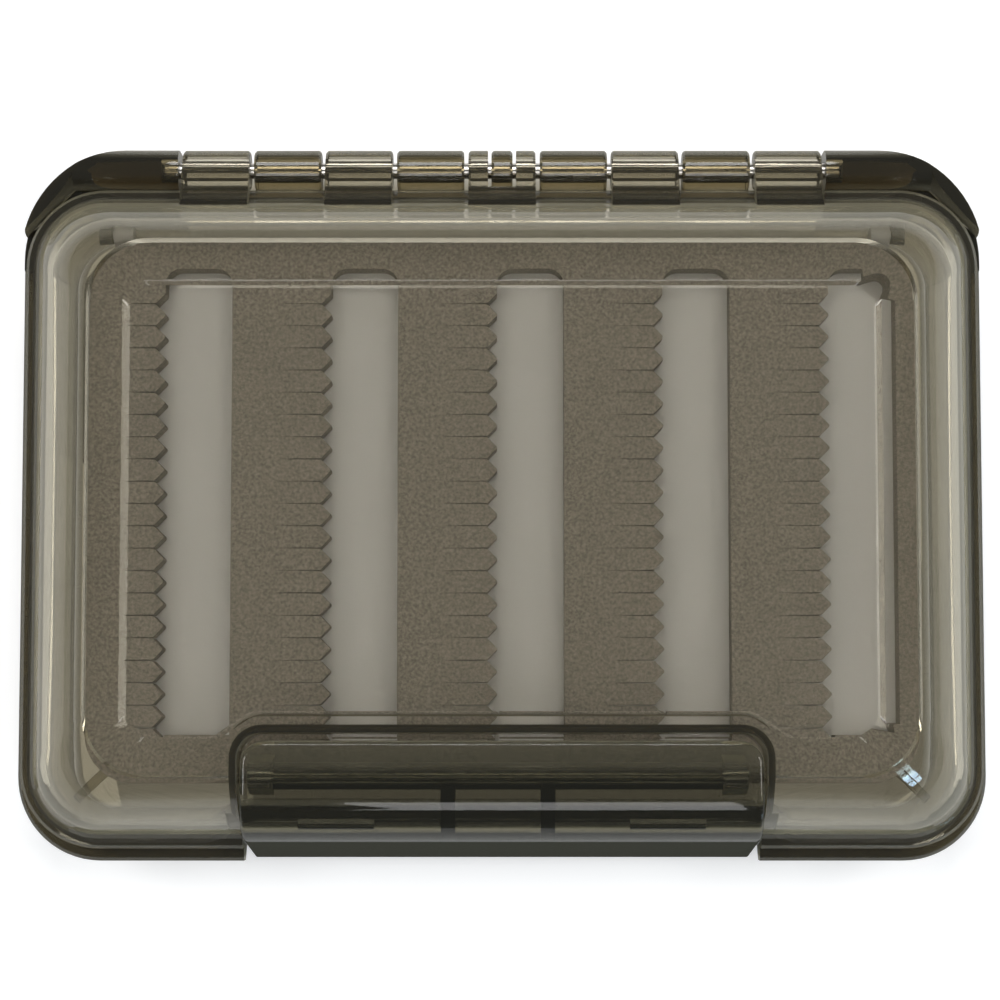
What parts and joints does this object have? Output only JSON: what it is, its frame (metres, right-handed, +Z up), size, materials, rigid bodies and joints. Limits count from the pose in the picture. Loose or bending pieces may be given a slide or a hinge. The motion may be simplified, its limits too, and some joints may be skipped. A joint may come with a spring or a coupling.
{
  "type": "fly box",
  "caption": "Pocket case of clear smoke plastic with a hinged lid, a front latch, a seal and a swing leaf of slit foam.",
  "frame": {"origin": "middle of the underside of the base, on the surface the case stands on", "axes": "+X along the hinge, +Y from the latch to the hinge, +Z up out of the lid"},
  "size_m": [0.1502, 0.1112, 0.04],
  "materials": {
    "smoke_plastic": "clear smoke-tinted moulding, glossy",
    "latch_plastic": "dark smoke-tinted moulding, glossy",
    "steel": "drawn stainless wire",
    "seal_rubber": "matt silicone cord",
    "foam": "closed-cell foam, fine speckle",
    "leaf_plastic": "off-white satin moulding",
    "adhesive": "thin double-sided film"
  },
  "bodies": {
    "base": {"base_shell": "smoke_plastic", "hinge_pin": "steel", "gasket": "seal_rubber", "base_foam": "foam", "base_foam_adhesive": "adhesive"},
    "lid": {"lid_shell": "smoke_plastic", "latch_pin": "steel"},
    "latch": {"latch_flap": "latch_plastic"},
    "leaf": {"leaf_plate": "leaf_plastic", "leaf_foam_upper": "foam", "leaf_foam_lower": "foam", "leaf_adhesive_upper": "adhesive", "leaf_adhesive_lower": "adhesive"}
  },
  "joints": [
    {"name": "lid_hinge", "type": "hinge", "parent": "base", "child": "lid", "pos_m": [0, 0.0524, 0.0234], "axis": [-1, 0, 0], "range_deg": [0, 170]},
    {"name": "latch_pivot", "type": "hinge", "parent": "lid", "child": "latch", "pos_m": [0, -0.0423, 0.0354], "axis": [-1, 0, 0], "range_deg": [0, 70]},
    {"name": "leaf_swing", "type": "hinge", "parent": "base", "child": "leaf", "pos_m": [0, 0.0434, 0.0212], "axis": [-1, 0, 0], "range_deg": [0, 85]}
  ],
  "couplings": [
    {"joint": "leaf_swing", "follows": "lid_hinge", "ratio": 0.5}
  ]
}
